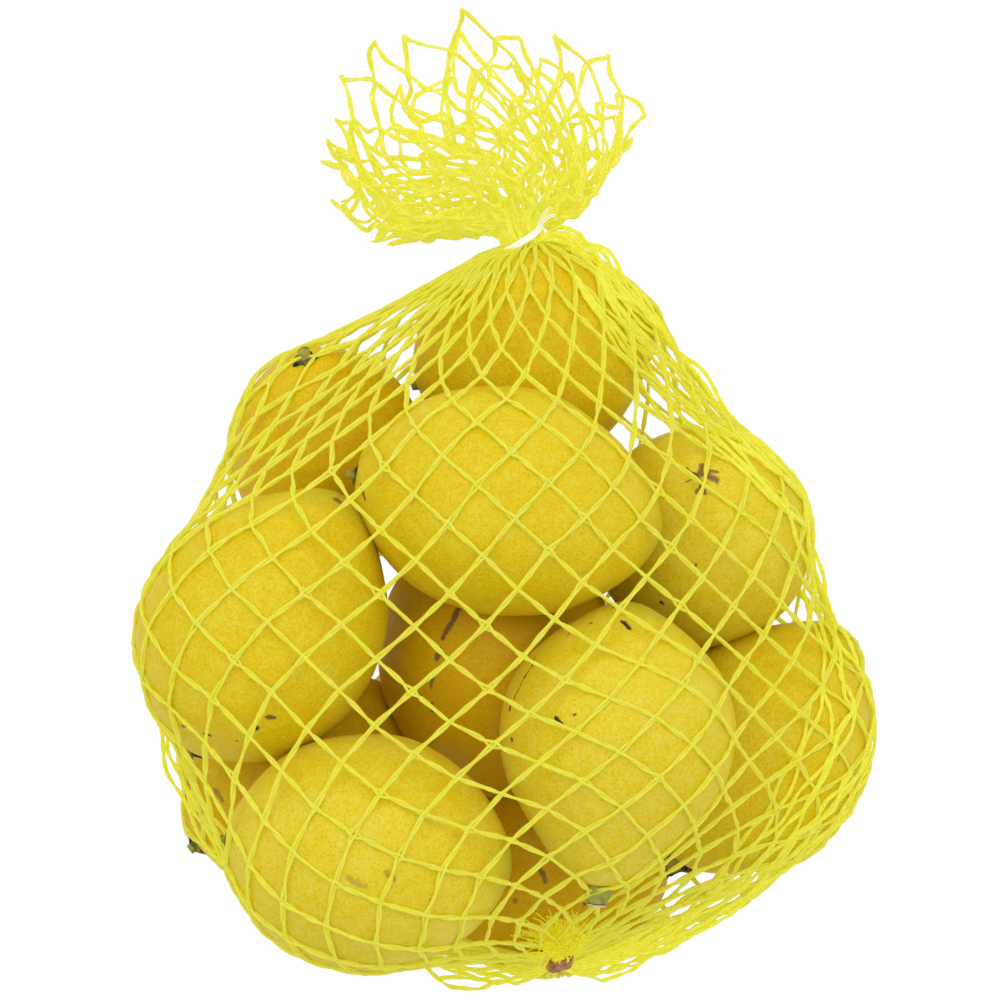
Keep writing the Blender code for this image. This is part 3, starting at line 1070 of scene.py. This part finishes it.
def frillKnots(layout, net):
    # an open, ruffled fan of net: its left edge droops, and its rim is uneven
    rows, count = layout["rows"], net["cellsRound"]
    neckWay = heading(net["neckHeading"])
    start = net["neck"] + neckWay * layout["start"] * mm
    shift = 0.5 * (np.arange(rows + 1) % 2)[:, None]
    turns = 2 * np.pi * (np.arange(count)[None] + shift) / count
    nearSide = np.sin(turns) > 0
    share = ((np.arange(rows + 1) - layout["firstRow"]) / (rows - layout["firstRow"])).clip(0)[:, None]
    lean = waves(turns + layout["lag"] * share, (4, 7, 11)) * share
    sway = waves(turns, (4, 6, 9)) * share
    crowded = turns + layout["crowd"] * np.sin(turns) * share
    middle, half = layout["rim"]
    farPlan = middle - half * np.cos(crowded) + layout["sway"] * sway
    rim = np.interp(farPlan, *zip(*frillRim)) * mm * layout["size"]
    rim = rim * np.where(nearSide, 1, layout["backRim"])
    reach = share ** layout["gather"] * rim
    reach = reach * (1 + layout["ragged"] * waves(turns, (4, 7, 11, 13)) * share**2)
    reach[-1] += chance.normal(0, 1, count) * layout["spikes"]
    reach[-2] += chance.normal(0, 0.5, count) * layout["spikes"]
    plan, turned, over = layout["leftEdge"]
    leftEdge = plan - turned * (reach / mm / over) ** 3
    plan, turned, over = layout["rightEdge"]
    rightEdge = plan - turned * np.exp(-reach / mm / over)
    plan = (leftEdge + rightEdge) / 2 - (leftEdge - rightEdge) / 2 * np.cos(crowded) + layout["sway"] * sway
    spread = np.where(nearSide, layout["up"], layout["down"])
    lift = np.radians(spread * np.sin(turns) + layout["ruffle"] * lean)
    plan = np.radians(plan)
    ways = np.stack([np.cos(plan), np.sin(plan), np.tan(lift) * np.sqrt(np.cos(lift))], axis=2)
    side, front = across(neckWay)
    around = np.cos(turns)[..., None] * side + np.sin(turns)[..., None] * front
    knots = np.array(start) + ways * reach[..., None] + around * (neckBunch * (1 - share) ** 2)[..., None]
    knots[0] -= np.array(neckWay) * layout["tucked"] * mm
    knots[3:] += chance.normal(0, 1, knots[3:].shape) * layout["crumple"]
    knots[..., 2] = np.maximum(knots[..., 2], layout["lowestKnot"])
    return knots


def layFrill(layout, net):
    def offFloor(points):
        points[:, 2] = np.maximum(points[:, 2], layout["lowest"])

    hold = (0, 1, layout["rows"])
    return settleNet(frillKnots(layout, net), layout["side"], layout["steps"], hold, offFloor)


for prefix, layout in (("frill", frillLayout), ("frillInner", innerLayout)):
    makeStrands(prefix, frillForm, layFrill(layout, netLayout))

bandForm = {
    "middle": Vector((2.2, 68.4, 32.6)) * mm,
    "heading": 122,
    "dip": 9,  # degrees it leans out of upright
    "wide": 6.9 * mm,
    "high": 8.6 * mm,
    "dent": 0.35 * mm,
    "steps": 96,
    "plyRadius": 0.48 * mm,
    "plyOffset": 0.4 * mm,
    "pitch": 1.0,
    "rock": 0.0,
    "sides": 10,
}


def layBand(form):
    # two turns of thin band, side by side round the neck
    turns = np.arange(form["steps"]) * 2 * np.pi / form["steps"]
    axis = heading(form["heading"], form["dip"])
    level = heading(form["heading"] - 90)
    dent = form["dent"] * waves(turns, (3, 5))
    out = np.cos(turns)[:, None] * np.array(level)
    up = np.sin(turns)[:, None] * np.array(level.cross(axis))
    wide, high = (form["wide"] + dent)[:, None], (form["high"] + dent)[:, None]
    line = np.array(form["middle"]) + out * wide + up * high
    skin = out + up
    still = np.zeros((1, form["steps"], 3))
    return runStrands("neckBand", form, whiteBand, line[None], skin[None], still, still[..., 0], closed=True)


tailForm = {**bandForm, "plyRadius": 0.16 * mm, "plyOffset": 0.3 * mm, "sides": 6}
bandTails = (  # from, over, to, in mm
    ((7.6, 71.6, 37), (9.5, 74.6, 39.5), (11.6, 74.3, 38.5)),
    ((7.4, 71.9, 36), (8.6, 75.8, 38), (10.4, 76.2, 41)),
)


def bend(start, over, end, steps=12):
    # points along a curve from start to end, pulled towards over
    share = np.linspace(0, 1, steps)[:, None]
    start, over, end = (np.array(point) for point in (start, over, end))
    return (1 - share) ** 2 * start + 2 * share * (1 - share) * over + share**2 * end


def layTails(form):
    lines = np.stack([bend(*points) for points in bandTails]) * mm
    skins = np.broadcast_to(np.array((0.0, 0.3, 0.95)), lines.shape)
    still = np.zeros_like(lines)
    return runStrands("bandTails", form, whiteBand, lines, skins, still, still[..., 0])


clipForm = {
    "Long": 2.6 * mm,
    "Short": 2.0 * mm,
    "Strip Width": 4.2 * mm,
    "Strip Thickness": 0.55 * mm,
    "Strip Turns": 1.16,
    "Crimp": 0.45 * mm,
    "Corner": 0.2 * mm,
    "Steps": 72,
    "Finish": copper,
}
clipTurn = Vector((0.08, 0.72, 0.68)).normalized()
clipRise = 0.5  # mm from where the net ends to the clip's middle


def clipTree():
    # a strip bent once round, its ends overlapping, with crimped sides
    sockets = {
        "Long": ("Float", 0.003),
        "Short": ("Float", 0.002),
        "Strip Width": ("Float", 0.003),
        "Strip Thickness": ("Float", 0.0005),
        "Strip Turns": ("Float", 1.1),
        "Crimp": ("Float", 0.0004),
        "Corner": ("Float", 0.0002),
        "Steps": ("Int", 72),
        **placing,
        **dressing,
    }
    tree, given = newTree("crimpedClip", sockets)
    line = addNode(tree, "GeometryNodeCurvePrimitiveLine", {"Start": (0, 0, 0), "End": (1, 0, 0)})
    line = addNode(tree, "GeometryNodeResampleCurve", {"Curve": line, "Count": given["Steps"]})
    share = addNode(tree, "GeometryNodeSplineParameter", output="Factor")
    turn = share * given["Strip Turns"] * (2 * math.pi)
    grow = share * given["Strip Thickness"] * 1.5 + calc("COSINE", turn * 3.0) * given["Crimp"]
    side = calc("COSINE", turn) * (given["Long"] + grow)
    front = calc("SINE", turn) * (given["Short"] + grow)
    spot = addNode(tree, "ShaderNodeCombineXYZ", {"X": side, "Y": front})
    bent = addNode(tree, "GeometryNodeSetPosition", {"Geometry": line, "Position": spot})
    upright = addNode(tree, "GeometryNodeSetCurveNormal", {"Curve": bent}, mode="Z_UP")
    edges = {"Width": given["Strip Thickness"], "Height": given["Strip Width"]}
    shape = addNode(tree, "GeometryNodeCurvePrimitiveQuadrilateral", edges)
    eased = addNode(tree, "GeometryNodeFilletCurve", {"Curve": shape, "Radius": given["Corner"]})
    return finishTree(given, sweep(upright, eased), smooth=False)


def layClip(net):
    values = {**clipForm, "Middle": net["clip"] + clipTurn * clipRise * mm, "Turn": turnTo(clipTurn)}
    return buildPiece("copperClip", clipTree(), values)


tuftForm = {
    "fibres": 210,
    "root": Vector((12.4, -118.2, 51.3)) * mm,
    "rootSpread": 0.8 * mm,
    "rise": 4.0 * mm,  # straight up out of the clip before it spreads
    "settled": 0.4,  # share of the rise that its end keeps
    "length": (3.0 * mm, 9.5 * mm),
    "fan": (-78, 70),  # degrees from its middle, in plan
    "middle": 98,
    "lift": (-12, 60),
    "curl": 2.2 * mm,
    "fray": 1.2 * mm,
    "plyRadius": 0.19 * mm,
    "plyOffset": 0.2 * mm,
    "pitch": 4 * mm,
    "rock": 1.3,
    "sides": 5,
    "steps": 10,
}


def randomStarts(lines):
    return np.broadcast_to(chance.uniform(0, 6, (len(lines), 1)), lines.shape[:2])


def layTuft(form):
    # cut ends of the net, fanned out of the clip and frayed
    lines, skins, splits = [], [], []
    share = np.linspace(0, 1, form["steps"])[:, None]
    up = np.array(clipTurn)
    rise = up * form["rise"]
    for _ in range(form["fibres"]):
        root = np.array(form["root"]) + chance.normal(0, 1, 3) * form["rootSpread"]
        turn = form["middle"] + chance.uniform(*form["fan"])
        way = np.array(heading(turn, chance.uniform(*form["lift"])))
        end = root + rise * form["settled"] + way * chance.uniform(*form["length"])
        line = bend(root, root + rise, end, form["steps"])
        lines.append(line + np.cumsum(chance.normal(0, 1, line.shape), 0) * share * form["curl"] / 3)
        aside = np.cross(way, up)
        skins.append(np.broadcast_to(up, line.shape))
        splits.append(aside / np.linalg.norm(aside) * share**2 * form["fray"] * chance.uniform(-1, 1))
    lines, skins, splits = np.array(lines), np.array(skins), np.array(splits)
    return runStrands("netTuft", form, tuftNetting, lines, skins, splits, randomStarts(lines))


foldForm = {
    **strandForm,
    "plyRadius": 0.33 * mm,
    "plyOffset": 0.32 * mm,
    "pitch": 9 * mm,
    "steps": 48,
    "stretch": 9 * mm,  # between the crossings of a fold's drawn-out cells
    "meet": 0.46,  # how near neighbours come to each other there, 0.5 touching
    "uneven": 0.15,
    "wander": 0.7 * mm,
    "clear": 1.0 * mm,
    "over": 64 * mm,  # fruit higher than this is not climbed
    "ease": 3,
    "tied": 0.3,  # share of its length over which a strand comes in to the knot that it is tied to
}
# folds of slack net, in mm: the line that each follows, its half widths along it, and its strands
netFolds = {
    "clipRight": ((14, -122.5, 44), (60, -115, 40), (90, -58, 34), (1.4, 7, 13), 8),
    "clipEdge": ((14, -122.5, 43), (68, -114, 30), (93, -66, 26), (1.2, 2.8, 7), 4),
    "clipLow": ((13, -123, 43), (28, -129, 38), (54, -108, 30), (1.2, 2.6, 2), 4),
    "clipLeft": ((10, -122.5, 43), (-6, -130, 36), (-32, -118, 40), (1.2, 3.8, 5), 6),
    "neckBulge": ((5, 71, 37), (21, 73, 41), (38, 40, 40), (1.4, 3, 3), 7),
    "upperRight": ((18, 60, 42), (36, 34, 42), (78, -4, 36), (2, 8, 2), 10),
    "right": ((76, 2, 36), (80, -30, 34), (92, -58, 34), (3, 3.5, 7), 5),
    "left": ((-94, -48, 45), (-88, -80, 38), (-60, -112, 42), (5, 3, 5), 4),
}


def topOfFruit(point, highest):
    # how high the fruit under a plan point comes, as far as the folds climb
    hits = [tree.ray_cast(Vector((point[0], point[1], highest)), down)[0] for tree in fruitTrees]
    return max([hit.z for hit in hits if hit] or [0.0])


def foldLines(form, share):
    # the strands of a fold lie side by side, and meet their neighbours on either side in turn
    lines = []
    for start, over, end, widths, count in netFolds.values():
        path = bend(start, over, end, form["steps"]) * mm
        run = np.gradient(path, axis=0)
        run /= np.linalg.norm(run, axis=1, keepdims=True)
        aside = np.cross(run, (0, 0, 1))
        wide = np.interp(share, (0, 0.5, 1), widths) * mm
        beat = np.cos(np.pi * walkedTo(path) / form["stretch"] + chance.uniform(0, 6))
        for number in range(count):
            lane = number - (count - 1) / 2 + form["meet"] * beat * (-1) ** number
            lane = lane + chance.normal(0, form["uneven"])
            strays = [waves(share * 2 * np.pi, (1, 3, 5)) for _ in range(3)]
            wander = np.stack(strays, axis=1) * form["wander"] * np.sin(np.pi * share)[:, None]
            lines.append(path + aside * (lane * 2 * wide / count)[:, None] + wander)
    return np.array(lines)


def layFolds(form, knots):
    # laid down on the fruit, with both ends of each strand tied to the net's nearest knots
    share = np.linspace(0, 1, form["steps"])
    lines = foldLines(form, share)
    for point in lines.reshape(-1, 3):
        point[2] = max(point[2], topOfFruit(point, form["over"]) + form["clear"])
    for _ in range(form["ease"]):
        lines[:, 1:-1] = (lines[:, :-2] + 2 * lines[:, 1:-1] + lines[:, 2:]) / 4
    near = np.clip(1 - share / form["tied"], 0, 1)
    near = near**2 * (3 - 2 * near)
    for line in lines:
        for end, part in ((0, near), (-1, near[::-1])):
            knot = knots[np.argmin(np.linalg.norm(knots - line[end], axis=1))]
            line += part[:, None] * (knot - line[end])
    pushOut(lines.reshape(-1, 3), form["clear"])
    lines = outsideFruit(lines, form["clear"])
    skins = np.broadcast_to(np.array((0, -0.3, 0.95)), lines.shape)
    return runStrands("netFolds", form, looseNetting, lines, skins, np.zeros_like(lines), randomStarts(lines))


finishPiece(layBand(bandForm), "white_band", "tie")
finishPiece(layTails(tailForm), "white_band")
finishPiece(layClip(netLayout), "copper", "clip")
finishPiece(layTuft(tuftForm), "netting", "net_end")
finishPiece(layFolds(foldForm, bodyKnots.reshape(-1, 3)), "netting")
print("band, clip, tuft and folds laid")

calyxForm = {
    "Lobes": 5.0,
    "Gnarl": 0.7 * mm,
    "Steps Round": 60,
    "Steps Along": 14,
    "Finish": stemSkin,
}
# lemon -> radius, height, stub radius at the fruit and at its end, stub length, all in mm, then lobe depth,
# and its twist and how far it leans up in degrees
calyxes = {
    "lemonTop": (3.6, 1.2, 1.5, 1.2, 1.6, 0.3, 10, 0),
    "lemonUpperLeft": (3.8, 1.7, 1.8, 1.5, 1.6, 0.28, 0, 0),
    "lemonLeft": (4.4, 1.6, 1.6, 1.2, 0.8, 0.4, 25, 0),
    "lemonCentre": (3.2, 1.6, 1.3, 1.1, 1.4, 0.35, 5, 15),
    "lemonLowerRight": (5.2, 2.4, 3.0, 2.6, 1.4, 0.22, 40, 68),
    "lemonShaded": (3.6, 1.2, 1.5, 1.2, 1.4, 0.3, 0, 0),
    "lemonLowerLeft": (3.2, 1.2, 1.3, 1.0, 1.0, 0.3, 50, 0),
    "lemonMiddleRight": (4.7, 1.2, 4.3, 2.2, 4.8, 0.12, 30, 0),
    "lemonBackLeft": (4.0, 2.6, 1.6, 1.3, 0.6, 0.34, 15, 10),
    "lemonBottom": (3.4, 1.2, 1.3, 1.0, 1.2, 0.3, 0, 0),
}
freshCut = "lemonMiddleRight"
seatRise = 0.3 * mm  # of a calyx over the bottom of its dimple
calyxLabels = ("Radius", "Height", "Stub Radius", "Stub End", "Stub Length")


def calyxTree():
    # a lobed button with a short cut stub, standing along Z
    sockets = {
        "Radius": ("Float", 0.004),
        "Height": ("Float", 0.0015),
        "Lobes": ("Float", 5.0),
        "Lobe Depth": ("Float", 0.3),
        "Stub Radius": ("Float", 0.0015),
        "Stub End": ("Float", 0.0012),
        "Stub Length": ("Float", 0.002),
        "Fresh Cut": ("Float", 0.0),
        "Twist": ("Float", 0.0),
        "Gnarl": ("Float", 0.0007),
        "Steps Round": ("Int", 60),
        "Steps Along": ("Int", 14),
        **placing,
        **dressing,
    }
    tree, given = newTree("calyx", sockets)
    place = addNode(tree, "GeometryNodeInputPosition")
    x, y, z = partsOf(place)
    flat = calc("SQRT", calc("POWER", x, 2.0) + calc("POWER", y, 2.0))
    turn = calc("ARCTAN2", y, x) + given["Twist"]
    lobes = calc("COSINE", turn * given["Lobes"]) * given["Lobe Depth"]
    uneven = (noise(place, 3.0) - 0.5) * 0.5
    wide = ((lobes + uneven) * flat + 1.0) * given["Radius"]
    droop = flat * flat * (given["Height"] * -0.7)
    axes = {"X": x * wide, "Y": y * wide, "Z": z * given["Height"] + droop}
    rimmed = keepValue(unitBall(tree, given), "rimPart", flat)
    inputs = {"Geometry": rimmed, "Position": addNode(tree, "ShaderNodeCombineXYZ", axes)}
    button = addNode(tree, "GeometryNodeSetPosition", inputs)
    stubHigh = given["Stub Length"] + given["Height"]
    sizes = {
        "Vertices": 24,
        "Side Segments": 6,
        "Fill Segments": 3,
        "Radius Top": given["Stub End"],
        "Radius Bottom": given["Stub Radius"],
        "Depth": stubHigh,
    }
    shown = calc("MULTIPLY_ADD", given["Fresh Cut"], 0.2, 0.8)  # only a fresh cut reaches its pale end
    stub = keepValue(addNode(tree, "GeometryNodeMeshCone", sizes), "stubPart", z / stubHigh * shown)
    inputs = {"Geometry": stub, "Offset": stray(place, 900.0, given["Gnarl"])}
    stub = addNode(tree, "GeometryNodeSetPosition", inputs)
    both = tree.nodes.new("GeometryNodeJoinGeometry")
    connect(stub, both.inputs[0])
    connect(button, both.inputs[0])
    return finishTree(given, term(both.outputs[0]))


def makeCalyxes():
    tree = calyxTree()
    for name, (*sizes, lobeDepth, twist, lean) in calyxes.items():
        middle, turn, rise = lemons[name][:3]
        seat = float(fruitReach(np.pi, *fruitSizes[name])) - lemonForm["Stem Dimple"] + seatRise
        values = {
            **calyxForm,
            **{label: size * mm for label, size in zip(calyxLabels, sizes)},
            "Lobe Depth": lobeDepth,
            "Fresh Cut": 1.0 if name == freshCut else 0.0,
            "Twist": math.radians(twist),
            "Middle": Vector(middle) * mm + heading(turn, rise) * seat,
            "Turn": turnTo(heading(turn, rise + lean)),
        }
        finishPiece(buildPiece(name.replace("lemon", "calyx"), tree, values), "lemon_stem")
    print("calyxes:", len(calyxes))


makeCalyxes()

floorLook = {"reach": 3.0, "colour": (0.75, 0.75, 0.75, 1), "roughness": 0.9, "selfGlow": 0.2}


def makeFloor(look):
    reach = look["reach"]
    mesh = bpy.data.meshes.new("floor")
    corners = [(-reach, -reach, 0), (reach, -reach, 0), (reach, reach, 0), (-reach, reach, 0)]
    mesh.from_pydata(corners, [], [(0, 1, 2, 3)])
    floor = bpy.data.objects.new("floor", mesh)
    bpy.context.scene.collection.objects.link(floor)
    material, tree = newMaterial("paleFloor")
    values = {
        "Base Color": look["colour"],
        "Roughness": look["roughness"],
        "Emission Color": white,
        "Emission Strength": look["selfGlow"],
    }
    setShader(tree, values)
    seen = addNode(tree, "ShaderNodeLightPath", output="Is Camera Ray")
    mixShaders(tree, seen, "ShaderNodeEmission", {"Color": white, "Strength": 1.0})
    mesh.materials.append(material)


# place, aim, size and power
lights = {
    "keyLeft": ((-0.6, 0.6, 1.1), (0, -0.02, 0.05), 1.2, 3.7),
    "keyRight": ((0.6, 0.55, 1.1), (0, -0.02, 0.05), 1.2, 3.7),
    "fill": ((0.1, -0.2, 1.5), (0, 0, 0.05), 1.4, 1.4),
}
skyStrength = 0.7


def addLight(name, place, aim, size, power):
    data = bpy.data.lights.new(name, "AREA")
    data.shape = "DISK"
    data.size = size
    data.energy = power
    light = bpy.data.objects.new(name, data)
    light.location = place
    light.rotation_euler = (Vector(aim) - Vector(place)).to_track_quat("-Z", "Y").to_euler()
    bpy.context.scene.collection.objects.link(light)


def makeWorld(strength):
    world = bpy.data.worlds.new("studio")
    world.use_nodes = True
    sky = world.node_tree.nodes["Background"]
    sky.inputs["Color"].default_value = white
    sky.inputs["Strength"].default_value = strength
    bpy.context.scene.world = world


cameraSet = {"height": 1.15, "x": -2.9 * mm, "y": -0.4 * mm, "view": 260 * mm, "level": 50 * mm}


def makeCamera(look):
    # it sees as much as the view across, at that level over the floor
    data = bpy.data.cameras.new("camera")
    data.lens = data.sensor_width * (look["height"] - look["level"]) / look["view"]
    camera = bpy.data.objects.new("camera", data)
    camera.location = (look["x"], look["y"], look["height"])
    bpy.context.scene.collection.objects.link(camera)
    bpy.context.scene.camera = camera


makeFloor(floorLook)
for name, values in lights.items():
    addLight(name, *values)
makeWorld(skyStrength)
bpy.context.scene.view_settings.view_transform = "Standard"
makeCamera(cameraSet)
print("floor, lights and camera set")
